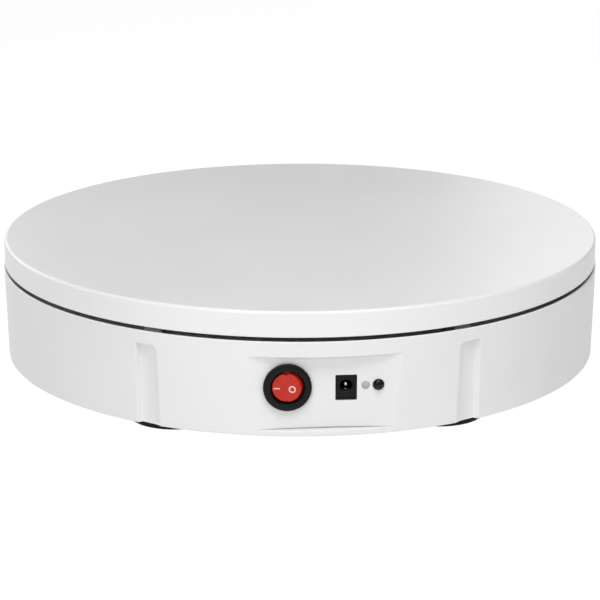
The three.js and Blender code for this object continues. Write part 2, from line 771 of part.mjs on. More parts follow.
azimuths.forEach((azimuth, i) => {
  const number = i + 1;
  const arm = new THREE.Group();
  arm.rotation.z = azimuth * degrees;
  const screwBottom = foot.recess - seatGap - footScrew.head;
  const screwTop = foot.recess + footScrew.length - 1;
  const { headRadius, head, shankRadius } = footScrew;
  const standing = [
    piece(`foot_${number}`, footPad(), "rubber"),
    piece(`foot_screw_${number}`, screw(headRadius, head, shankRadius, screwBottom, screwTop), "steel"),
  ];
  standing.forEach((mesh) => mesh.position.set(0, -footOrbit, 0));
  const riding = [
    piece(`roller_bracket_${number}`, rollerBracket(), "greyPlastic"),
    piece(`roller_axle_${number}`, rollerAxle(), "steel"),
    piece(`roller_${number}`, rollerWheel(), "greyPlastic"),
  ];
  riding.forEach((mesh) => mesh.position.set(0, -trackOrbit, rollerAxis));
  arm.add(...standing, ...riding);
  turntable.add(arm);
});

turntable.add(
  piece("platter", platterDisc(), "whiteShell"),
  piece("spindle", spindleShaft(), "steel"),
  piece("bearing_outer_race", bearingOuterRace(), "steel"),
  piece("bearing_ball_set", ballSet(), "steel"),
  piece("bearing_inner_race", bearingInnerRace(), "steel"),
  piece("spindle_washer", ringOf(nutHole, bearingLand - washer.inset, washerBottom, washerTop, 16), "steel"),
  piece("spindle_nut", spindleNut(), "steel"),
  piece("ring_gear", ringGear(), "gearPlastic"),
);
flangeTurns.forEach((turn, i) => {
  const { headRadius, head, shankRadius, bite, orbit } = flangeScrew;
  const shape = screw(headRadius, head, shankRadius, flangeBottom - head - seatGap, flangeTop + bite);
  const mesh = piece(`flange_screw_${i + 1}`, shape, "steel");
  mesh.position.set(orbit * Math.sin(turn), -orbit * Math.cos(turn), 0);
  turntable.add(mesh);
});

const drive = new THREE.Group();
drive.position.set(0, motorOrbit, 0);
const pinionMesh = piece("pinion", drivePinion(), "gearPlastic");
pinionMesh.rotation.z = Math.PI / 2; // points one tooth outwards, into a tooth space of the ring
drive.add(
  piece("gearmotor", gearmotor(), "steel"),
  piece("motor_shaft", rod(shaft.radius, shaftBottom, pinionTop, pinSides), "steel"),
  pinionMesh,
);
[-motorScrewReach, motorScrewReach].forEach((x, i) => {
  const { headRadius, head, shankRadius } = motorScrew;
  const shape = screw(headRadius, head, shankRadius, motorTop - ear.thickness - seatGap - head, deckTop);
  const mesh = piece(`motor_screw_${i + 1}`, shape, "steel");
  mesh.position.set(x, 0, 0);
  drive.add(mesh);
});
turntable.add(drive);

turntable.add(piece("control_board", controlBoard(), "circuitBoard"));
boardScrewPlaces.forEach(([x, y], i) => {
  const { headRadius, head, shankRadius, bite } = boardScrew;
  const shape = screw(headRadius, head, shankRadius, boardBottom - seatGap - head, boardTop + bite);
  const mesh = piece(`board_screw_${i + 1}`, shape, "steel");
  mesh.position.set(x, y, 0);
  turntable.add(mesh);
});

turntable.add(
  piece("dc_jack", powerJack(), "blackPlastic"),
  piece("dc_jack_pin", jackCentrePin(), "steel"),
  piece("indicator_led", domedPart(lamp), "clearLens"),
  piece("ir_receiver", domedPart(eye), "blackPlastic"),
  piece("switch_housing", switchHousing(), "blackPlastic"),
);
const rockerMesh = piece("switch_rocker", switchRocker(), "redPlastic");
rockerMesh.position.set(rocker.x, panelFront + rocker.pivotDepth, rowLevel);
turntable.add(rockerMesh, piece("switch_cable", switchCable(), "blackPlastic"));
turntable.add(piece("motor_cable", motorCable(), "blackPlastic"));

export default turntable;
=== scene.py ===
# Looks for a motorised display turntable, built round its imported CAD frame. Metres, +Z up.
import json
import math
import bpy
import bmesh
from mathutils import Matrix, Vector


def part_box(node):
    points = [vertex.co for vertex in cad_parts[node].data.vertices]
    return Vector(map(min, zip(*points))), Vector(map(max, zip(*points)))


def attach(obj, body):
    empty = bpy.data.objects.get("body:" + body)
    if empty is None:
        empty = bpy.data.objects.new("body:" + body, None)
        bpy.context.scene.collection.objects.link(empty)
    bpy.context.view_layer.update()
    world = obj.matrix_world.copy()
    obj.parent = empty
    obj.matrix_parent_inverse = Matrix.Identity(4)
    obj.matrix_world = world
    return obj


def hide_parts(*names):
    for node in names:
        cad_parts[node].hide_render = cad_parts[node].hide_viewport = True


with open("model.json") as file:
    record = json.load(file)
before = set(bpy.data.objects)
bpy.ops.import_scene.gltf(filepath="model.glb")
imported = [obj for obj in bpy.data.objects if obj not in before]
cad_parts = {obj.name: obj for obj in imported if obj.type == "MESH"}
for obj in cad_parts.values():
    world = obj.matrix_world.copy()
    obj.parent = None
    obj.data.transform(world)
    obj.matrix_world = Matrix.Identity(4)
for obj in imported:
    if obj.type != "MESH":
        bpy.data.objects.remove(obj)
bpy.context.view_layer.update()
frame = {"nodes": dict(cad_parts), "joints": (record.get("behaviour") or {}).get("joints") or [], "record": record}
mm = 0.001
print("frame loaded:", len(frame["nodes"]), "nodes")


# Where things are, read from the frame
def middleOf(box):
    return sum(box, Vector()) / 2


shellLow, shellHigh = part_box("base_shell")
platterLow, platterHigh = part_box("platter")
coverLow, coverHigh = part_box("bottom_cover")
jackLow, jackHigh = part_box("dc_jack")
rockJoint = next(j for j in frame["joints"] if j["name"] == "switch_rock")
pivot = Vector(rockJoint["pos_m"])
panelY = jackLow.y
rowZ = middleOf(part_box("switch_housing")).z
switchX = middleOf(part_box("switch_housing")).x
jackX = middleOf(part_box("dc_jack")).x
lampX = middleOf(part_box("indicator_led")).x
eyeX = middleOf(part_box("ir_receiver")).x
footCentres = [middleOf(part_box(f"foot_{n}")) for n in range(1, 7)]
armTurns = [math.atan2(c.x, -c.y) for c in footCentres]


# Shaping helpers. A section is a list of (radius, height, fillet) corners in millimetres
def arcTurns(steps):
    return [math.pi / 2 * s / steps for s in range(steps + 1)]


def filleted(corners, closed=False, steps=6, support=0.35):
    points = []
    count = len(corners)
    for i, corner in enumerate(corners):
        here = Vector(corner[:2])
        fillet = corner[2] if len(corner) > 2 else 0
        ends = not closed and i in (0, count - 1)
        if not fillet or ends:
            points.append(here)
            continue
        before = Vector(corners[i - 1][:2]) - here
        after = Vector(corners[(i + 1) % count][:2]) - here
        half = before.angle(after) / 2
        reach = fillet / math.tan(half)
        first = here + before.normalized() * reach
        last = here + after.normalized() * reach
        inwards = (before.normalized() + after.normalized()).normalized()
        centre = here + inwards * fillet / math.sin(half)
        if before.length - reach > 4 * support:
            points.append(first + before.normalized() * support)
        sweep = (first - centre).angle_signed(last - centre)
        for s in range(steps + 1):
            points.append(centre + Matrix.Rotation(-sweep * s / steps, 2) @ (first - centre))
        if after.length - reach > 4 * support:
            points.append(last + after.normalized() * support)
    return [(max(p.x, 0) * mm, p.y * mm) for p in points]


def rodProfile(radius, low, high):
    return [(0, low * mm), (radius * mm, low * mm), (radius * mm, high * mm), (0, high * mm)]


def latheInto(bm, profile, sides, closed=False, place=Matrix()):
    turns = [2 * math.pi * i / sides for i in range(sides)]
    rings = []
    for radius, height in profile:
        if radius < 1e-7:
            rings.append([bm.verts.new(place @ Vector((0, 0, height)))])
            continue
        points = [Vector((radius * math.cos(t), radius * math.sin(t), height)) for t in turns]
        rings.append([bm.verts.new(place @ p) for p in points])
    pairs = list(zip(rings, rings[1:])) + ([(rings[-1], rings[0])] if closed else [])
    for low, high in pairs:
        for i in range(sides):
            j = (i + 1) % sides
            loop = [low[i % len(low)], low[j % len(low)], high[j % len(high)], high[i % len(high)]]
            loop = list(dict.fromkeys(loop))
            if len(loop) > 2:
                bm.faces.new(loop)
    return bm


def lathe(profile, sides, closed=False, place=Matrix()):
    return latheInto(bmesh.new(), profile, sides, closed, place)


def stitch(bm, first, second):
    for i in range(len(first)):
        j = (i + 1) % len(first)
        bm.faces.new((first[i], first[j], second[j], second[i]))


def boxInto(bm, low, high, place=Matrix(), bevel=0):
    size = Vector(high) - Vector(low)
    middle = (Vector(high) + Vector(low)) / 2
    shape = place @ Matrix.Translation(middle) @ Matrix.Diagonal((*size, 1))
    made = bmesh.ops.create_cube(bm, size=1, matrix=shape)
    if bevel:
        edges = list({e for v in made["verts"] for e in v.link_edges})
        bmesh.ops.bevel(bm, geom=edges, offset=bevel, segments=3, profile=0.5, affect="EDGES")
    return bm


def meshOf(name, bm):
    bmesh.ops.recalc_face_normals(bm, faces=bm.faces)
    mesh = bpy.data.meshes.new(name)
    bm.to_mesh(mesh)
    bm.free()
    return mesh


def smoothed(mesh, angle=32):
    mesh.polygons.foreach_set("use_smooth", [True] * len(mesh.polygons))
    mesh.set_sharp_from_angle(angle=math.radians(angle))
    return mesh


def carved(mesh, cutterBm):
    body = bpy.data.objects.new("body", mesh)
    cutter = bpy.data.objects.new("cutter", meshOf("cutter", cutterBm))
    for o in (body, cutter):
        bpy.context.scene.collection.objects.link(o)
    cut = body.modifiers.new("cut", "BOOLEAN")
    cut.operation = "DIFFERENCE"
    cut.solver = "EXACT"
    cut.object = cutter
    bpy.context.view_layer.update()
    graph = bpy.context.evaluated_depsgraph_get()
    result = bpy.data.meshes.new_from_object(body.evaluated_get(graph))
    for o in (body, cutter):
        bpy.data.objects.remove(o)
    result.name = mesh.name
    return result


def show(name, mesh, finish, body, replaced=(), angle=32):
    obj = bpy.data.objects.new(name, smoothed(mesh, angle))
    bpy.context.scene.collection.objects.link(obj)
    obj.data.materials.clear()
    obj.data.materials.append(finish)
    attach(obj, body)
    if replaced:
        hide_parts(*replaced)
    return obj


def upright(centre):
    return Matrix.Translation((centre.x, centre.y, 0))


# Turns a lathed piece so that its height points out of the panel
def outOfPanel(x):
    return Matrix.Translation((x, panelY, rowZ)) @ Matrix.Rotation(math.pi / 2, 4, "X")


# Finishes: a wrapped socket, so that shader maths reads as plain expressions
class Value:
    def __init__(self, nodes, socket):
        self.nodes = nodes
        self.socket = socket

    def maths(self, operation, *parts):
        return self.nodes.node("Math", {"operation": operation}, dict(enumerate(parts)))

    def __add__(self, other):
        return self.maths("ADD", self, other)

    def __sub__(self, other):
        return self.maths("SUBTRACT", self, other)

    def __rsub__(self, other):
        return self.maths("SUBTRACT", other, self)

    def __mul__(self, other):
        return self.maths("MULTIPLY", self, other)

    __radd__ = __add__
    __rmul__ = __mul__


class Nodes:
    def __init__(self, tree):
        self.tree = tree

    def node(self, kind, settings={}, inputs={}, out=0):
        made = self.tree.nodes.new("ShaderNode" + kind)
        for key, value in settings.items():
            setattr(made, key, value)
        self.feed(made, inputs)
        return Value(self, made.outputs[out])

    def feed(self, made, inputs):
        for key, value in inputs.items():
            socket = made.inputs[key]
            if isinstance(value, Value):
                self.tree.links.new(value.socket, socket)
            elif isinstance(value, tuple) and len(value) == 3 and socket.type == "RGBA":
                socket.default_value = (*value, 1)
            else:
                socket.default_value = value


class Finish(Nodes):
    def __init__(self, name, **constants):
        self.material = bpy.data.materials.new(name)
        self.material.use_nodes = True
        super().__init__(self.material.node_tree)
        self.shader = self.tree.nodes["Principled BSDF"]
        self.place = self.node("TexCoord", out="Object")
        self.set(**constants)

    def set(self, **values):
        self.feed(self.shader, {key.replace("_", " "): value for key, value in values.items()})
        return self

    def noise(self, scale, detail=2.0, roughness=0.5, place=None):
        sockets = {"Vector": place or self.place, "Scale": scale, "Detail": detail, "Roughness": roughness}
        return self.node("TexNoise", {}, sockets)

    def stretched(self, x, y, z):
        return self.node("Mapping", {}, {"Vector": self.place, "Scale": (x, y, z)})

    def mix(self, factor, first, second):
        return self.node("Mix", {"data_type": "RGBA"}, {0: factor, 6: first, 7: second}, out=2)

    def masked(self, value, low, high):
        return self.node("MapRange", {}, {"Value": value, "From Min": low, "From Max": high})

    def bump(self, *layers):
        normal = None
        for height, distance in layers:
            sockets = {"Height": height, "Distance": distance, "Strength": 1.0}
            if normal:
                sockets["Normal"] = normal
            normal = self.node("Bump", {}, sockets)
        return self.set(Normal=normal)


# Two tones for each finish, mixed by a cloud, and how rough it is
coats = {
    "shell": {"light": (0.805, 0.803, 0.80), "dark": (0.77, 0.768, 0.765), "rough": 0.40, "grain": 0.000010},
    "platter": {"light": (0.825, 0.823, 0.82), "dark": (0.80, 0.798, 0.795), "rough": 0.36, "grain": 0.000006},
    "dust": {"pale": (0.55, 0.55, 0.54), "onBlack": (0.07, 0.07, 0.07)},
    "rubber": {"light": (0.016, 0.016, 0.016), "dark": (0.006, 0.006, 0.006), "rough": 0.68},
    "steel": {"colour": (0.62, 0.63, 0.64), "rough": 0.3, "brush": (1, 1, 6)},
    "pin": {"colour": (0.75, 0.74, 0.70), "rough": 0.16, "brush": (1, 5, 1)},
    "grey": {"light": (0.56, 0.565, 0.57), "dark": (0.48, 0.485, 0.49), "rough": 0.45},
    "roller": {"light": (0.34, 0.345, 0.35), "dark": (0.26, 0.265, 0.27), "rough": 0.6},
    "gear": {"light": (0.84, 0.81, 0.70), "dark": (0.76, 0.73, 0.62), "rough": 0.42},
    "sheath": {"light": (0.018, 0.018, 0.019), "dark": (0.03, 0.03, 0.03), "rough": 0.5},
    "black": {"light": (0.008, 0.009, 0.0088), "dark": (0.0035, 0.0042, 0.004), "rough": 0.3},
    "receiver": {"light": (0.004, 0.003, 0.003), "dark": (0.001, 0.001, 0.001), "rough": 0.03},
    "red": {"light": (0.56, 0.018, 0.006), "dark": (0.44, 0.010, 0.003), "rough": 0.24},
    "ink": {"light": (0.82, 0.60, 0.58), "dark": (0.66, 0.36, 0.33), "rough": 0.42},
    "lens": {"light": (0.86, 0.87, 0.88), "dark": (0.62, 0.63, 0.65), "rough": 0.06},
    "board": {
        "light": (0.022, 0.16, 0.075),
        "dark": (0.010, 0.085, 0.035),
        "solder": (0.55, 0.52, 0.40),
        "rough": 0.3,
    },
}


def mouldedShell(name, light, dark, rough, grain):
    f = Finish(name, IOR=1.46)
    cloud = f.noise(14, 3)
    smudge = f.noise(55, 5, 0.6)
    fineGrain = f.noise(5200, 2, 0.6)
    dust = f.masked(f.noise(1500, 1), 0.74, 0.8)
    colour = f.mix(f.masked(cloud, 0.3, 0.7), light, dark)
    f.set(Base_Color=f.mix(dust * 0.12, colour, coats["dust"]["pale"]))
    f.set(Roughness=rough + (smudge - 0.5) * 0.16 + dust * 0.1)
    return f.bump((f.noise(30, 1), 0.00006), (fineGrain, grain)).material


def rubber(light, dark, rough):
    f = Finish("black_rubber", IOR=1.5, Specular_IOR_Level=0.2)
    bloom = f.noise(120, 4, 0.6)
    f.set(Base_Color=f.mix(f.masked(bloom, 0.35, 0.75), dark, light))
    f.set(Roughness=rough + bloom * 0.2)
    return f.bump((f.noise(2600, 3), 0.00003), (f.noise(300, 2), 0.00003)).material


def metal(name, colour, rough, brush):
    f = Finish(name, Metallic=1.0)
    streak = f.noise(420, 3, 0.6, f.stretched(*brush))
    stain = f.noise(160, 3)
    f.set(Base_Color=f.mix(f.masked(stain, 0.3, 0.8), colour, tuple(0.78 * c for c in colour)))
    f.set(Roughness=rough + (streak - 0.5) * 0.25)
    return f.bump((streak, 0.000012)).material


def technical(name, light, dark, rough):
    f = Finish(name, IOR=1.48)
    cloud = f.noise(220, 3)
    f.set(Base_Color=f.mix(cloud, light, dark))
    f.set(Roughness=rough + (cloud - 0.5) * 0.15)
    return f.bump((f.noise(3400, 2), 0.000012)).material


def blackMoulding(light, dark, rough):
    f = Finish("black_plastic", IOR=1.5, Specular_IOR_Level=0.16)
    cloud = f.noise(330, 4, 0.6)
    dust = f.masked(f.noise(2400, 1), 0.72, 0.8)
    f.set(Base_Color=f.mix(dust * 0.25, f.mix(cloud, dark, light), coats["dust"]["onBlack"]))
    f.set(Roughness=rough + cloud * 0.2)
    return f.bump((f.noise(4200, 2), 0.000014)).material


def receiverEpoxy(light, dark, rough):
    f = Finish("receiver_plastic", IOR=1.55, Specular_IOR_Level=0.24)
    cloud = f.noise(500, 2)
    f.set(Base_Color=f.mix(cloud, dark, light))
    f.set(Roughness=rough + cloud * 0.05)
    return f.bump((f.noise(240, 1), 0.00001)).material


def redRocker(light, dark, rough):
    f = Finish("red_plastic", IOR=1.5, Specular_IOR_Level=0.38, Subsurface_Weight=0.12)
    f.set(Subsurface_Scale=0.0012, Subsurface_Radius=(1.0, 0.15, 0.08))
    cloud = f.noise(260, 3)
    f.set(Base_Color=f.mix(cloud, light, dark), Roughness=rough + cloud * 0.12)
    return f.bump((f.noise(2800, 2), 0.000008)).material


def printedMark(light, dark, rough):
    f = Finish("mark_ink", IOR=1.45)
    wear = f.noise(1800, 3)
    f.set(Base_Color=f.mix(f.masked(wear, 0.35, 0.75), light, dark), Roughness=rough + wear * 0.1)
    return f.bump((wear, 0.00001)).material


def clearEpoxy(light, dark, rough):
    f = Finish("lamp_lens", IOR=1.5, Transmission_Weight=0.55)
    haze = f.noise(700, 3)
    f.set(Base_Color=f.mix(haze, light, dark), Roughness=rough + haze * 0.1)
    return f.bump((f.noise(420, 2), 0.00003)).material


def circuitBoard(light, dark, solder, rough):
    f = Finish("circuit_board", IOR=1.5)
    grid = {"Vector": f.place, "Scale": 260.0, "Mortar Size": 0.03}
    tracks = f.node("TexBrick", {"offset": 0.5}, grid, out="Fac")
    cells = f.node("TexVoronoi", {}, {"Vector": f.place, "Scale": 420.0}, out="Distance")
    pads = f.masked(cells, 0.24, 0.18)
    f.set(Base_Color=f.mix(pads * 0.5, f.mix(tracks, dark, light), solder))
    f.set(Roughness=rough + f.noise(900, 2) * 0.15)
    return f.bump((tracks, 0.00003)).material


finishes = {
    "white_shell": mouldedShell("white_shell", **coats["shell"]),
    "platter_white": mouldedShell("platter_white", **coats["platter"]),
    "black_rubber": rubber(**coats["rubber"]),
    "steel": metal("steel", **coats["steel"]),
    "bright_pin": metal("bright_pin", **coats["pin"]),
    "grey_plastic": technical("grey_plastic", **coats["grey"]),
    "roller_plastic": technical("roller_plastic", **coats["roller"]),
    "gear_plastic": technical("gear_plastic", **coats["gear"]),
    "black_plastic": blackMoulding(**coats["black"]),
    "receiver_plastic": receiverEpoxy(**coats["receiver"]),
    "red_plastic": redRocker(**coats["red"]),
    "mark_ink": printedMark(**coats["ink"]),
    "lamp_lens": clearEpoxy(**coats["lens"]),
    "circuit_board": circuitBoard(**coats["board"]),
    "cable_sheath": technical("cable_sheath", **coats["sheath"]),
}
print("finishes made:", len(finishes))

# Base shell: one closed skin, laid out as columns round the axis and rows up the wall's section
shell = {
    "taper": 1.1,
    "fillet": 0.8,
    "deckTop": 43.5,
    "deckBottom": 41.0,
    "deckRings": (130, 100, 50),
    "pocket": 147.7,
    "cavity": 146.2,
    "rebate": 5.3,
    "innerRow": 20,
    "panelWall": 2.8,
    "panelBlend": 0.09,
    "ledges": (5.9, 41.1),
    "ledgeFillet": 0.3,
    "seam": (0.85, 1.0),
    "seamFullDepth": 3.4,
    "rimDrop": 0.4,
    "rimEdge": 0.6,
    "rimFlat": 0.7,
    "rimSlope": 1.3,
}
# A flute's pairs of values are for the bottom and the top of the wall
flute = {
    "depth": (2.6, 2.7),
    "outerEdge": -5.3,
    "innerEdge": (7.0, 6.0),
    "drop": 1.1,
    "climb": 2.3,
    "top": 42.4,
    "corner": 3.2,
    "shoulder": 2.6,
    "blend": 0.16,
    "halfTurn": 0.06,
}
# Heights of the rows, and spacing of the columns in degrees as (start, step, count)
rowLevels = {
    "skirt": (4.1, 4.7, 5.1, 5.4),
    "panel": [7.6, 9, 12, 16, 20, 24, 28, 32, 34.5] + [35.5 + 0.36 * i for i in range(14)],
    "crown": [41.62 + 0.08 * i for i in range(12)] + [42.8, 43.6, 45, 47, 47.8],
}
columnSteps = {"plain": 1.5, "fluteSide": (1.1, 0.08, 24), "fluteMiddle": 0.25, "panelSide": (11.8, 0.12, 22)}
closestColumns = 0.05
farAway = 1e3
topRadius = shellHigh.x / mm
wallBottom, wallTop = shellLow.z / mm, shellHigh.z / mm - shell["rimDrop"]
panelOut = -panelY / mm


def softMin(a, b, soft):
    h = max(soft - abs(a - b), 0) / soft
    return min(a, b) - h * h * soft / 4


def coneRadius(z):
    return topRadius - shell["taper"] * (wallTop - z) / (wallTop - wallBottom)


# A flute drops quickly on its outer side and climbs back in a long curve towards the panel
def fluteRadiusAt(turn, z):
    offsets = [((turn - t + math.pi) % (2 * math.pi) - math.pi, t) for t in armTurns]
    offset, arm = min(offsets, key=lambda pair: abs(pair[0]))
    if abs(offset) > flute["halfTurn"] or z > flute["top"]:
        return farAway
    across = coneRadius(z) * math.sin(offset) * (-1 if math.sin(arm) > 0 else 1)
    share = (z - wallBottom) / (wallTop - wallBottom)
    pairs = (flute["depth"], flute["innerEdge"])
    deep, inner = ((1 - share) * low + share * high for low, high in pairs)
    corner, shoulder = flute["corner"], flute["shoulder"]
    inner -= corner - math.sqrt(corner**2 - max(z - flute["top"] + corner, 0) ** 2)
    outer = flute["outerEdge"]
    if across < outer:
        return farAway
    fall = min((across - outer) / flute["drop"], 1)
    climb = 1 - ((across - outer) / (inner - outer)) ** flute["climb"]
    end = max(z - flute["top"] + shoulder, 0) / shoulder
    return coneRadius(z) - deep * fall * fall * (3 - 2 * fall) * climb * math.sqrt(1 - end * end)


def panelRadiusAt(turn):
    return panelOut / math.cos(turn) if math.cos(turn) > 0.8 else farAway


def openWall(turn, z):
    return softMin(coneRadius(z), fluteRadiusAt(turn, z), flute["blend"])


def panelWallAt(turn, z):
    return softMin(openWall(turn, z), panelRadiusAt(turn), shell["panelBlend"])


def upperLedge(turn):
    z, fillet, gap = shell["ledges"][1], shell["ledgeFillet"], 0.03
    face, outer = panelWallAt(turn, z), openWall(turn, z)
    bend = min(fillet, abs(outer - face) / 2) * (1 if outer > face else -1)
    turns = arcTurns(4)
    rows = [(face + bend * (1 - math.cos(a)), z - gap - fillet * (1 - math.sin(a))) for a in turns]
    rows += [(outer - bend * (1 - math.sin(a)), z + gap + fillet * (1 - math.cos(a))) for a in turns]
    return rows


# The lower ledge has a narrow seam over it, which fades out with the ledge at both ends
def lowerLedge(turn):
    z, gap = shell["ledges"][0], 0.02
    outer, face = openWall(turn, z), panelWallAt(turn, z)
    depth = max(outer - face, 0)
    share = min(depth / shell["seamFullDepth"], 1)
    tall, deep = (max(part * share, 0.02) for part in shell["seam"])
    edge = min(shell["ledgeFillet"], depth / 2)
    turns = arcTurns(4)
    rows = [(outer - edge * (1 - math.cos(a)), z - gap - edge * (1 - math.sin(a))) for a in turns]
    return rows + [(face - deep, z), (face - deep, z + tall), (face, z + tall + 0.01), (face, z + tall + 0.3)]


def wallSection(turn):
    lowRadius = openWall(turn, wallBottom)
    edge = min(shell["fillet"], (lowRadius - shell["cavity"]) / 2 - 0.2)
    top = shell["rimEdge"]
    turns = arcTurns(5)
    rows = [(lowRadius - edge * (1 - math.sin(a)), wallBottom + edge * (1 - math.cos(a))) for a in turns]
    rows += [(openWall(turn, z), z) for z in rowLevels["skirt"]]
    rows += lowerLedge(turn)
    rows += [(panelWallAt(turn, z), z) for z in rowLevels["panel"]]
    rows += upperLedge(turn)
    rows += [(openWall(turn, z), z) for z in rowLevels["crown"]]
    rows += [(topRadius - top * (1 - math.cos(a)), wallTop - top * (1 - math.sin(a))) for a in turns]
    return rows


def columnTurns():
    plain, middle = columnSteps["plain"], columnSteps["fluteMiddle"]
    turns = {round(plain * i, 4) for i in range(int(360 / plain))}
    edges = [(math.degrees(t) % 360, columnSteps["fluteSide"]) for t in armTurns]
    edges.append((0, columnSteps["panelSide"]))
    for centre, (start, step, count) in edges:
        for side in (-1, 1):
            turns |= {round((centre + side * (start + step * i)) % 360, 4) for i in range(count)}
    for centre, _ in edges[:-1]:
        turns |= {round((centre + middle * i) % 360, 4) for i in range(-4, 5)}
    kept = []
    for t in sorted(turns):
        if not kept or t - kept[-1] > closestColumns:
            kept.append(t)
    return [math.radians(t) for t in kept]


def backRadiusAt(turn):
    if abs(math.sin(turn)) < 0.4 and math.cos(turn) > 0:
        return min(shell["cavity"], (panelOut - shell["panelWall"]) / math.cos(turn))
    return shell["cavity"]


def baseSkin():
    bm = bmesh.new()
    deckTop, deckBottom = shell["deckTop"], shell["deckBottom"]
    pocket, cavity, rebate = shell["pocket"], shell["cavity"], shell["rebate"]
    far, middle, near = shell["deckRings"]
    inner = filleted([
        (topRadius - shell["rimFlat"], wallTop),
        (pocket, wallTop - shell["rimSlope"], 0.3),
        (pocket, deckTop, 0.6),
        (far, deckTop),
    ])
    inner = [(r / mm, z / mm) for r, z in inner][1:]
    loops = []
    for turn in columnTurns():
        back = backRadiusAt(turn)
        section = wallSection(turn) + inner + [(middle, deckTop), (near, deckTop)]
        under = [(near, deckBottom), (middle, deckBottom), (back - 2, deckBottom), (back, deckBottom - 0.01)]
        under += [(back, shell["innerRow"]), (back, rebate + 0.02), (cavity, rebate - 0.02)]
        under += [(cavity, wallBottom + 0.3), (cavity + 0.3, wallBottom)]
        aim = Vector((math.sin(turn), -math.cos(turn), 0))
        parts = [[(aim * r + Vector((0, 0, z))) * mm for r, z in part] for part in (section, under)]
        loops.append([[bm.verts.new(point) for point in part] for part in parts])
    topPole = bm.verts.new((0, 0, deckTop * mm))
    lowPole = bm.verts.new((0, 0, deckBottom * mm))
    for here, there in zip(loops, loops[1:] + loops[:1]):
        for a, b in zip(here, there):
            for i in range(len(a) - 1):
                bm.faces.new((a[i], b[i], b[i + 1], a[i + 1]))
        bm.faces.new((here[0][-1], there[0][-1], topPole))
        bm.faces.new((lowPole, there[1][0], here[1][0]))
        bm.faces.new((here[1][-1], there[1][-1], there[0][0], here[0][0]))
    return meshOf("base_shell_skin", bm)


holes = {
    "switch": 9.8,
    "lamp": 1.88,
    "eye": 2.74,
    "jackGap": 0.3,
    "jackBevel": 0.35,
    "hub": 13.3,
    "motor": 6.3,
    "motorScrew": 1.8,
    "peg": 2.1,
    "pegOut": 5,
    "throughDeck": (40, 45),
}


def baseCutters():
    bm = bmesh.new()
    for x, radius in ((switchX, holes["switch"]), (lampX, holes["lamp"]), (eyeX, holes["eye"])):
        latheInto(bm, rodProfile(radius, -6, 6), 96, False, outOfPanel(x))
    gap = holes["jackGap"] * mm
    low = (jackLow.x - gap, panelY - 4 * mm, jackLow.z - gap)
    high = (jackHigh.x + gap, panelY + 6 * mm, jackHigh.z + gap)
    boxInto(bm, low, high, bevel=holes["jackBevel"] * mm)
    motorY = middleOf(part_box("pinion")).y
    spots = [(Vector((0, 0)), holes["hub"]), (Vector((0, motorY)), holes["motor"])]
    for n in (1, 2):
        screwX = middleOf(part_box(f"motor_screw_{n}")).x
        spots.append((Vector((screwX, motorY)), holes["motorScrew"]))
    for n, turn in enumerate(armTurns, 1):
        centre = middleOf(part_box(f"roller_bracket_{n}")).xy
        outwards = Vector((math.sin(turn), -math.cos(turn))) * holes["pegOut"] * mm
        for side in (-1, 1):
            spots.append((centre + side * outwards, holes["peg"]))
    for spot, radius in spots:
        latheInto(bm, rodProfile(radius, *holes["throughDeck"]), 64, False, upright(spot))
    return bm


skin = carved(baseSkin(), baseCutters())
show("base_shell_skin", skin, finishes["white_shell"], "base", ["base_shell"])
print("base shell:", len(skin.polygons), "faces")

# What hangs under the deck: the bearing's housing, the bosses of the foot screws, the board's posts
posts = {
    "housing": [
        (13.3, 40.99), (13.3, 34.9, 0.2), (9.5, 34.9, 0.2),
        (9.5, 32.9, 0.2), (17.3, 32.9, 0.6), (17.3, 40.99),
    ],
    "screwBoss": [(1.8, 5.3, 0.2), (4.7, 5.3, 0.4), (4.9, 40.99), (1.8, 40.99)],
    "boardPost": [(1.8, 19.55, 0.15), (3.0, 19.55, 0.3), (3.2, 40.99), (1.8, 40.99)],
}


def underDeck():
    bm = bmesh.new()
    latheInto(bm, filleted(posts["housing"], closed=True), 96, True)
    boardScrews = [middleOf(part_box(f"board_screw_{n}")) for n in (1, 2)]
    for kind, centres in (("screwBoss", footCentres), ("boardPost", boardScrews)):
        for centre in centres:
            latheInto(bm, filleted(posts[kind], closed=True), 40, True, upright(centre))
    return meshOf("base_shell_posts", bm)


show("base_shell_posts", underDeck(), finishes["white_shell"], "base")

# Bottom cover: a lid in the rebate, with a shallow ring groove and the holes of the foot screws
cover = {"groove": (92, 92.6, 94.4, 95), "grooveDepth": 0.5, "lowEdge": 0.5, "topEdge": 0.3, "screwHole": 1.8}


def bottomCover():
    radius = coverHigh.x / mm
    low, high = coverLow.z / mm, coverHigh.z / mm
    first, second, third, last = cover["groove"]
    roof = low + cover["grooveDepth"]
    section = [
        (0, low), (first, low), (second, roof, 0.3), (third, roof, 0.3), (last, low),
        (radius, low, cover["lowEdge"]), (radius, high, cover["topEdge"]), (0, high),
    ]
    cutter = bmesh.new()
    for centre in footCentres:
        latheInto(cutter, rodProfile(cover["screwHole"], low - 2, high + 2), 48, False, upright(centre))
    return carved(meshOf("bottom_cover_lid", lathe(filleted(section), 240)), cutter)


show("bottom_cover_lid", bottomCover(), finishes["white_shell"], "base", ["bottom_cover"])

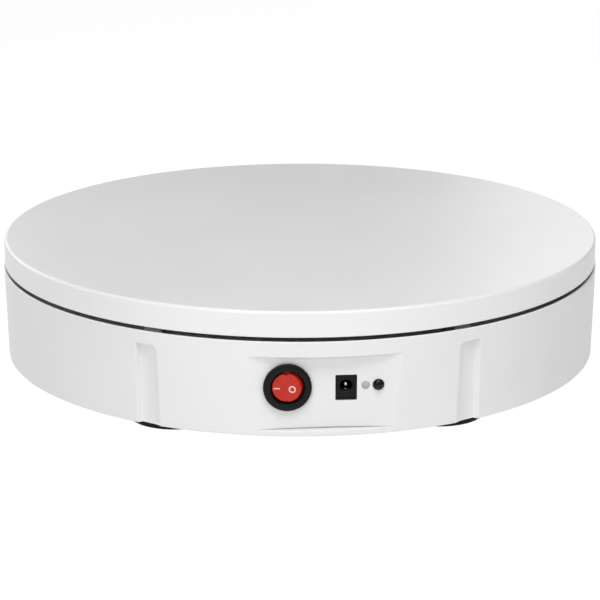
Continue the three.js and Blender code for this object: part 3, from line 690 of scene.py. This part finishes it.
# Feet, their screws, and the roller carriers above them
foot = {"radius": 22, "height": 2.7, "edge": 0.45, "hole": 1.8, "recess": 4.6, "recessTop": 1.8, "groove": 15.5}
screw = {"radius": 3.2, "low": 0.6, "neck": 1.5, "shank": 1.5, "top": 16.5, "slotTurn": 0.4, "slotDepth": 0.55}
roller = {"bore": 1.8, "radius": 5.5, "half": 5.6, "edge": 0.8, "waist": 5.25, "waistHalf": 1.7, "land": 2.0}
axle = {"radius": 1.5, "half": 8.25, "edge": 0.25}
bracket = {
    "floor": -8.0,
    "base": -6.0,
    "half": 5.0,
    "cheek": 2.4,
    "cheekStarts": (-8.3, 5.9),
    "eye": 3.7,
    "baseHalf": 5.95,
    "peg": {"radius": 1.8, "low": -11.0, "top": -7.9, "out": (-5, 5)},
    "bore": 1.8,
}
lying = Matrix.Rotation(math.pi / 2, 4, "X")


def footPad():
    groove = foot["groove"]
    section = [
        (foot["recess"], 0, 0.3),
        (groove - 0.5, 0, 0.15),
        (groove, 0.35, 0.15),
        (groove + 0.5, 0, 0.15),
        (foot["radius"], 0, foot["edge"]),
        (foot["radius"], foot["height"], 0.3),
        (foot["hole"], foot["height"]),
        (foot["hole"], foot["recessTop"]),
        (foot["recess"], foot["recessTop"]),
    ]
    return meshOf("foot_pad", lathe(filleted(section, closed=True), 160, True))


def crossScrew():
    radius, low, shank, top = screw["radius"], screw["low"], screw["shank"], screw["top"]
    section = [
        (0, low - 0.001), (radius * 0.55, low), (radius * 0.96, low + 0.35, 0.3), (radius, screw["neck"], 0.1),
        (shank, screw["neck"]), (shank, top - 0.8), (shank * 0.4, top), (0, top),
    ]
    body = meshOf("foot_screw", lathe(filleted(section), 48))
    reach, half = 0.55 * radius, 0.13 * radius
    start = Vector((-reach, -half, low - 1)) * mm
    end = Vector((reach, half, low + screw["slotDepth"])) * mm
    for turn in (screw["slotTurn"], screw["slotTurn"] + math.pi / 2):
        body = carved(body, boxInto(bmesh.new(), start, end, Matrix.Rotation(turn, 4, "Z")))
    return body


def rollerWheel():
    r, half, land = roller["radius"], roller["half"], roller["land"]
    waist, waistHalf = roller["waist"], roller["waistHalf"]
    section = [
        (roller["bore"], -half, 0.15), (r, -half, roller["edge"]), (r, -land, 0.2), (waist, -waistHalf, 0.2),
        (waist, waistHalf, 0.2), (r, land, 0.2), (r, half, roller["edge"]), (roller["bore"], half, 0.15),
    ]
    return meshOf("roller_wheel", lathe(filleted(section, closed=True, steps=4), 96, True, lying))


def rollerAxle():
    r, half, edge = axle["radius"], axle["half"], axle["edge"]
    section = [(0, -half), (r, -half, edge), (r, half, edge), (0, half)]
    return meshOf("roller_axle", lathe(filleted(section), 40, False, lying))


# Two round-topped cheeks on a base, with two pegs that go down into the deck
def rollerBracket():
    bm = bmesh.new()
    floor, half, peg = bracket["floor"], bracket["half"], bracket["peg"]
    arc = [math.pi * i / 16 for i in range(17)]
    outline = [(-half, floor), (half, floor)]
    outline += [(bracket["eye"] * math.cos(a), bracket["eye"] * math.sin(a)) for a in arc]
    for start in bracket["cheekStarts"]:
        faces = (start, start + bracket["cheek"])
        loops = [[bm.verts.new(Vector((x, y, z)) * mm) for x, z in outline] for y in faces]
        bm.faces.new(loops[0])
        bm.faces.new(loops[1][::-1])
        stitch(bm, *loops)
    wide = bracket["baseHalf"]
    boxInto(bm, Vector((-half, -wide, floor)) * mm, Vector((half, wide, bracket["base"])) * mm)
    r, low, top = peg["radius"], peg["low"], peg["top"]
    for y in peg["out"]:
        section = filleted([(0, low), (r, low, 0.3), (r, top), (0, top)])
        latheInto(bm, section, 32, False, Matrix.Translation((0, y * mm, 0)))
    return carved(meshOf("roller_bracket", bm), lathe(rodProfile(bracket["bore"], -10, 10), 32, False, lying))


carriers = (
    ("foot", footPad(), "ground", "black_rubber"),
    ("foot_screw", crossScrew(), "ground", "steel"),
    ("roller_bracket", rollerBracket(), "axle", "grey_plastic"),
    ("roller_axle", rollerAxle(), "axle", "steel"),
    ("roller", rollerWheel(), "axle", "roller_plastic"),
)
for n, turn in enumerate(armTurns, 1):
    facing = Matrix.Rotation(turn, 4, "Z")
    places = {
        "ground": upright(footCentres[n - 1]) @ facing,
        "axle": Matrix.Translation(middleOf(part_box(f"roller_{n}"))) @ facing,
    }
    for kind, mesh, level, finish in carriers:
        placed = mesh.copy()
        placed.transform(places[level])
        body = f"roller_{n}" if kind == "roller" else "base"
        show(f"{kind}_{n}_piece", placed, finishes[finish], body, [f"{kind}_{n}"])
print("feet and rollers:", len(carriers) * len(armTurns))

# Platter: the disc that turns, with its skirt, roller track, hub and gear rib
platter = {
    "edge": 1.5,
    "lowEdge": 0.25,
    "skirt": 3.0,
    "plate": 4.0,
    "track": (128, 142),
    "trackDepth": 1.2,
    "hub": 18,
    "hubDrop": 3.5,
    "rib": (66.3, 68.3),
    "ribDrop": 3,
    "screwHole": 1.8,
    "topRings": (100, 50),
}


def platterDisc():
    radius, top, bottom = platterHigh.x / mm, platterHigh.z / mm, platterLow.z / mm
    plate = top - platter["plate"]
    inside = radius - platter["skirt"]
    near, far = platter["track"]
    track = plate - platter["trackDepth"]
    hub, foot = platter["hub"], plate - platter["hubDrop"]
    (ribIn, ribOut), rib = platter["rib"], plate - platter["ribDrop"]
    section = [(0, foot), (hub, foot, 0.3), (hub, plate, 0.4)]
    section += [(ribIn, plate, 0.2), (ribIn, rib, 0.2), (ribOut, rib, 0.2), (ribOut, plate, 0.3)]
    section += [(near, plate), (near, track, 0.2), (far, track, 0.2), (far, plate)]
    section += [(inside, plate, 0.8), (inside, bottom, 0.4), (radius, bottom, platter["lowEdge"])]
    section += [(radius, top, platter["edge"])] + [(r, top) for r in platter["topRings"]] + [(0, top)]
    cutter = bmesh.new()
    hole = rodProfile(platter["screwHole"], foot - 1, plate + 1.8)
    for i in range(3):
        latheInto(cutter, hole, 32, False, upright(middleOf(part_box(f"flange_screw_{i + 1}"))))
    return carved(meshOf("platter_disc", lathe(filleted(section, steps=8), 288)), cutter)


show("platter_disc", platterDisc(), finishes["platter_white"], "platter", ["platter"])
print("platter made")

# Switch: a round bezel and cup, and a rocker whose two halves meet in a shallow valley
bezel = {
    "radius": 11.1,
    "hole": 7.7,
    "funnel": 8.05,
    "proud": 2.3,
    "body": 9.5,
    "depth": 16,
    "floor": 14,
    "tab": {"out": (-3, 3), "halfThick": 0.4, "halfTall": 2.4, "from": 15, "to": 23, "bevel": 0.2},
}
rocker = {
    "radius": 6.7,
    "flank": 7.3,
    "face": 3.1,
    "valley": 0.4,
    "valleySoft": 0.1,
    "skirt": 4.0,
    "edge": 0.4,
    "rings": 22,
    "sides": 128,
    "restTilt": 10,
    "notch": {"radius": 1.3, "out": 0.55},
}
marks = {
    "on": {"x": -4.5, "y": -0.35, "length": 3.15, "width": 0.62},
    "off": {"x": 2.65, "y": -0.6, "radius": 1.68, "stroke": 0.68},
    "proud": 0.05,
    "sunk": 0.25,
}
rockerTilt = Matrix.Translation(pivot) @ Matrix.Rotation(-math.radians(rocker["restTilt"]), 4, "Z") @ lying


def switchHousing():
    r, body, hole, proud = bezel["radius"], bezel["body"], bezel["hole"], bezel["proud"]
    section = [
        (0, -bezel["depth"]), (body, -bezel["depth"], 0.6), (body, 0.05), (r, 0.05, 0.25), (r, proud - 0.3, 0.5),
        (r - 1.5, proud, 1.2), (bezel["funnel"], proud, 0.25), (hole, proud - 0.9, 0.3),
        (hole, -bezel["floor"]), (0, -bezel["floor"]),
    ]
    return meshOf("switch_bezel", lathe(filleted(section, steps=8), 192, False, outOfPanel(switchX)))


def switchTabs():
    bm = bmesh.new()
    tab = bezel["tab"]
    corner = Vector((switchX, panelY, rowZ))
    for side in tab["out"]:
        low = corner + Vector((side - tab["halfThick"], tab["from"], -tab["halfTall"])) * mm
        high = corner + Vector((side + tab["halfThick"], tab["to"], tab["halfTall"])) * mm
        boxInto(bm, low, high, bevel=tab["bevel"] * mm)
    return meshOf("switch_tabs", bm)


def rockerFace(x):
    soft = rocker["valleySoft"]
    rise = (math.hypot(x / rocker["radius"], soft) - soft) / (math.hypot(1, soft) - soft)
    return rocker["face"] - rocker["valley"] * (1 - rise)


def onFace(x, y, lift):
    return rockerTilt @ (Vector((x, y, rockerFace(x) + lift)) * mm)


def rockerBody():
    bm = bmesh.new()
    radius, edge, flank, under = rocker["radius"], rocker["edge"], rocker["flank"], -rocker["skirt"]
    turns = [2 * math.pi * i / rocker["sides"] for i in range(rocker["sides"])]
    spread = [radius * (s / rocker["rings"]) ** 0.9 for s in range(1, rocker["rings"])]
    levels = [(r, 0) for r in spread if r < radius - edge - 0.1]
    levels += [(radius - edge + edge * math.sin(a), edge * (1 - math.cos(a))) for a in arcTurns(6)]
    rings = []
    for r, drop in levels:
        rings.append([bm.verts.new(onFace(r * math.cos(t), r * math.sin(t), -drop)) for t in turns])
    sides = [(radius + 0.03, 2.2), (flank - 0.12, 0.9), (flank, 0.7), (flank, -1.5)]
    sides += [(radius, under + 0.3), (radius - 0.3, under)]
    for out, depth in sides:
        points = [Vector((out * math.cos(t), out * math.sin(t), depth)) * mm for t in turns]
        rings.append([bm.verts.new(rockerTilt @ p) for p in points])
    for low, high in zip(rings, rings[1:]):
        stitch(bm, low, high)
    bm.faces.new(rings[0][::-1])
    bm.faces.new(rings[-1])
    notch = rocker["notch"]
    notches = bmesh.new()
    for side in (-1, 1):
        place = rockerTilt @ Matrix.Translation((0, side * (radius + notch["out"]) * mm, 0))
        latheInto(notches, rodProfile(notch["radius"], 1, 6), 32, False, place)
    return carved(meshOf("rocker_body", bm), notches)


def barOutline(x, y, length, width):
    points = []
    for side, start in ((1, -90), (-1, 90)):
        for a in (math.radians(start + 22.5 * i) for i in range(9)):
            along = (length - width) / 2 * side + width / 2 * math.cos(a)
            points.append((x + along, y + width / 2 * math.sin(a)))
    return points


def ringOutline(x, y, radius):
    turns = [2 * math.pi * i / 64 for i in range(64)]
    return [(x + radius * math.cos(t), y + radius * math.sin(t)) for t in turns]


def markMesh(name, loops):
    bm = bmesh.new()
    layers = []
    for lift in (marks["proud"], -marks["sunk"]):
        layers.append([[bm.verts.new(onFace(x, y, lift)) for x, y in loop] for loop in loops])
    for top, low in zip(*layers):
        stitch(bm, top, low)
    for layer in layers:
        if len(layer) == 1:
            bm.faces.new(layer[0])
        else:
            stitch(bm, *layer)
    return meshOf(name, bm)


def showMark(name, loops):
    show(name, markMesh(name, loops), finishes["mark_ink"], "rocker", angle=40)


show("switch_bezel", switchHousing(), finishes["black_plastic"], "base", ["switch_housing"])
show("switch_tabs", switchTabs(), finishes["bright_pin"], "base")
show("rocker_body", rockerBody(), finishes["red_plastic"], "rocker", ["switch_rocker"])
off = marks["off"]
showMark("rocker_mark_on", [barOutline(**marks["on"])])
showMark("rocker_mark_off", [ringOutline(off["x"], off["y"], off["radius"] - inset) for inset in (0, off["stroke"])])
print("switch made")

# Power socket: a moulded block with a framed face, a bore, a centre pin and a leaf contact
jack = {
    "bevel": 0.3,
    "frame": 0.75,
    "inset": 0.25,
    "bore": 2.75,
    "mouth": 0.45,
    "mouthFrom": -0.75,
    "mouthTo": -0.2,
    "depth": 9.0,
    "pin": {"radius": 1.05, "tip": 0.95, "from": -11, "to": -1.9},
    "leaf": [(-8.9, -2.62), (-6, -2.6), (-4, -2.25), (-3.2, -1.95), (-2.7, -2.05), (-2.3, -2.35)],
    "leafThick": 0.18,
    "leafHalf": 0.9,
}


def jackBody():
    block = meshOf("dc_jack_body", boxInto(bmesh.new(), jackLow, jackHigh, bevel=jack["bevel"] * mm))
    edge, bore = jack["frame"] * mm, jack["bore"]
    low = (jackLow.x + edge, panelY - 1 * mm, jackLow.z + edge)
    high = (jackHigh.x - edge, panelY + jack["inset"] * mm, jackHigh.z - edge)
    framed = carved(block, boxInto(bmesh.new(), low, high))
    mouth = bore + jack["mouth"]
    back, start, end = -jack["depth"], jack["mouthFrom"], jack["mouthTo"]
    section = [(0, back), (bore, back), (bore, start), (mouth, end), (mouth, 1), (0, 1)]
    return carved(framed, lathe(filleted(section), 96, False, outOfPanel(jackX)))


def jackPin():
    pin = jack["pin"]
    r, back, front = pin["radius"], pin["from"], pin["to"]
    section = [(0, back), (r, back, 0.2), (r, front, pin["tip"]), (0, front)]
    return meshOf("dc_jack_pin_rod", lathe(filleted(section, steps=8), 48, False, outOfPanel(jackX)))


def jackLeaf():
    bm = bmesh.new()
    place, half = outOfPanel(jackX), jack["leafHalf"]
    strips = []
    for out, drop in jack["leaf"]:
        low = drop - jack["leafThick"]
        corners = ((-half, drop), (half, drop), (half, low), (-half, low))
        strips.append([bm.verts.new(place @ (Vector((x, z, out)) * mm)) for x, z in corners])
    for here, there in zip(strips, strips[1:]):
        stitch(bm, here, there)
    bm.faces.new(strips[0])
    bm.faces.new(strips[-1])
    return meshOf("dc_jack_leaf", bm)


show("dc_jack_body", jackBody(), finishes["black_plastic"], "base", ["dc_jack"])
show("dc_jack_pin_rod", jackPin(), finishes["bright_pin"], "base", ["dc_jack_pin"])
show("dc_jack_leaf", jackLeaf(), finishes["bright_pin"], "base")

# Indicator lamp and infrared receiver: domed bodies behind the panel, on bent leads
lamp = {"radius": 1.76, "proud": 0.7, "flange": 2.4, "flangeBack": -4.1, "back": -8.8, "leads": (-0.9, 0.9)}
eye = {"radius": 2.62, "proud": 1.9, "flange": 3.4, "flangeBack": -4.3, "back": -7.8, "leads": (-1.6, 0, 1.6)}
flangeFront = -3.1
wire = {"half": 0.3, "inside": 0.8, "bend": 1.4, "out": 2.0, "foot": 19.55, "bevel": 0.08}
heart = {
    "cup": [(0, -3.2), (1.0, -3.2, 0.1), (1.25, -1.1), (0.95, -1.1), (0.45, -2.2), (0, -2.2)],
    "cupShift": -0.3,
    "posts": (((0.7, 1.3, -0.6), (1.2, 8.5, 0.6)), ((-1.2, 3.2, -0.5), (-0.6, 8.5, 0.5))),
    "bevel": 0.1,
}


def dome(name, x, d):
    r, flange, proud = d["radius"], d["flange"], d["proud"]
    section = [(0, d["back"]), (r, d["back"], 0.3), (r, d["flangeBack"])]
    section += [(flange, d["flangeBack"], 0.15), (flange, flangeFront, 0.15), (r, flangeFront)]
    rise = min(proud, r)
    cap = [(r * math.cos(a) * mm, (proud - rise + rise * math.sin(a)) * mm) for a in arcTurns(14)[:-1]]
    return meshOf(name, lathe(filleted(section) + cap + [(0, proud * mm)], 96, False, outOfPanel(x)))


def leads(name, x, d):
    bm = bmesh.new()
    back = panelY - d["back"] * mm
    half, bevel = wire["half"] * mm, wire["bevel"] * mm
    start, bend, out = back - wire["inside"] * mm, back + wire["bend"] * mm, back + wire["out"] * mm
    for offset in d["leads"]:
        near, far = x + offset * mm - half, x + offset * mm + half
        boxInto(bm, (near, start, rowZ - half), (far, out, rowZ + half), bevel=bevel)
        boxInto(bm, (near, bend, wire["foot"] * mm), (far, out, rowZ - half * 0.9), bevel=bevel)
    return meshOf(name, bm)


def lampHeart():
    bm = bmesh.new()
    corner = Vector((lampX, panelY, rowZ))
    latheInto(bm, filleted(heart["cup"]), 48, False, outOfPanel(lampX + heart["cupShift"] * mm))
    for low, high in heart["posts"]:
        boxInto(bm, corner + Vector(low) * mm, corner + Vector(high) * mm, bevel=heart["bevel"] * mm)
    return meshOf("indicator_heart", bm)


pin = finishes["bright_pin"]
lens, epoxy = finishes["lamp_lens"], finishes["receiver_plastic"]
show("indicator_lens", dome("indicator_lens", lampX, lamp), lens, "base", ["indicator_led"])
show("indicator_heart", lampHeart(), pin, "base")
show("indicator_leads", leads("indicator_leads", lampX, lamp), pin, "base")
show("receiver_dome", dome("receiver_dome", eyeX, eye), epoxy, "base", ["ir_receiver"])
show("receiver_leads", leads("receiver_leads", eyeX, eye), pin, "base")
print("panel fittings made")

# What stays as the frame has it: the works inside, smoothed and given their finishes
slotOf = {part["node"]: part["material_slot"] for part in frame["record"]["subparts"]}
for name, node in frame["nodes"].items():
    if node.hide_render:
        continue
    node.data.materials.clear()
    node.data.materials.append(finishes[slotOf[name]])
    smoothed(node.data, 28)

# Studio: a pale floor that reads as paper white, soft boxes in front and above, and a still camera
studio = {
    "floorGlow": 0.94,
    "floorShade": 0.12,
    "floorHalf": 6,
    "surround": 0.0,
    "aim": (0, 0, 0.04),
    "boxes": {
        "front_box": {"turn": -3, "lift": 33, "away": 1.7, "size": (1.5, 0.7), "power": 3.77},
        "high_box": {"turn": -3, "lift": 60, "away": 1.5, "size": (1.2, 0.6), "power": 13.2},
        "top_box": {"turn": 0, "lift": 88, "away": 1.4, "size": (1.4, 1.4), "power": 7.19},
        "right_back_box": {"turn": 158, "lift": 17, "away": 2.0, "size": (0.7, 1.0), "power": 3.7},
        "left_near_box": {"turn": 222, "lift": 20, "away": 0.65, "size": (0.5, 0.3), "power": 1.09},
        "left_key": {"turn": -27, "lift": 21, "away": 1.5, "size": (0.26, 0.26), "power": 3.0},
        "right_key": {"turn": 33, "lift": 21, "away": 1.5, "size": (0.2, 0.2), "power": 1.2},
    },
}
camera = {"place": (-0.0878, -1.1411, 0.3574), "turn": 4.4, "dip": 16.21, "roll": -0.10, "lens": 138.7}


def studioLight(name, turn, lift, away, size, power):
    source = bpy.data.lights.new(name, "AREA")
    source.shape = "RECTANGLE"
    source.size, source.size_y = size
    source.energy = power
    light = bpy.data.objects.new(name, source)
    light.visible_camera = False
    aim = Vector(studio["aim"])
    t, e = math.radians(turn), math.radians(lift)
    outwards = Vector((math.sin(t) * math.cos(e), -math.cos(t) * math.cos(e), math.sin(e)))
    light.location = aim + outwards * away
    light.rotation_euler = (aim - light.location).to_track_quat("-Z", "Y").to_euler()
    bpy.context.scene.collection.objects.link(light)


# The floor is clear from underneath, so that the model can be looked at from below
def paperFloor():
    bm = bmesh.new()
    bmesh.ops.create_grid(bm, x_segments=1, y_segments=1, size=studio["floorHalf"])
    mesh = meshOf("floor", bm)
    f = Finish("floor_paper", Base_Color=(studio["floorShade"],) * 3, Roughness=0.9, Specular_IOR_Level=0.0)
    f.set(Emission_Color=(1, 1, 1), Emission_Strength=studio["floorGlow"])
    beneath = f.node("NewGeometry", out="Backfacing")
    paper, clear = Value(f, f.shader.outputs[0]), f.node("BsdfTransparent")
    either = f.node("MixShader", {}, {0: beneath, 1: paper, 2: clear})
    f.feed(f.tree.nodes["Material Output"], {"Surface": either})
    mesh.materials.append(f.material)
    floor = bpy.data.objects.new("floor", mesh)
    floor.location.z = -0.1 * mm
    bpy.context.scene.collection.objects.link(floor)


# The camera sees white beyond the floor, and the object is lit by the surround's own level
def surround():
    world = bpy.data.worlds.new("studio")
    world.use_nodes = True
    nodes = Nodes(world.node_tree)
    seen = nodes.node("LightPath", out="Is Camera Ray")
    level = nodes.node("MapRange", {}, {"Value": seen, "To Min": studio["surround"], "To Max": 1.0})
    nodes.feed(world.node_tree.nodes["Background"], {"Strength": level, "Color": (1, 1, 1)})
    bpy.context.scene.world = world


paperFloor()
surround()
for boxName, box in studio["boxes"].items():
    studioLight(boxName, **box)

seat = bpy.data.objects.new("camera", bpy.data.cameras.new("camera"))
seat.data.lens = camera["lens"]
seat.data.sensor_width = 36
seat.data.clip_end = 50
heading = Matrix.Rotation(-math.radians(camera["turn"]), 4, "Z")
pitch = Matrix.Rotation(math.radians(90 - camera["dip"]), 4, "X")
roll = Matrix.Rotation(math.radians(camera["roll"]), 4, "Z")
seat.matrix_world = Matrix.Translation(camera["place"]) @ heading @ pitch @ roll
bpy.context.scene.collection.objects.link(seat)
bpy.context.scene.camera = seat
bpy.context.scene.view_settings.view_transform = "Standard"
print("studio ready")
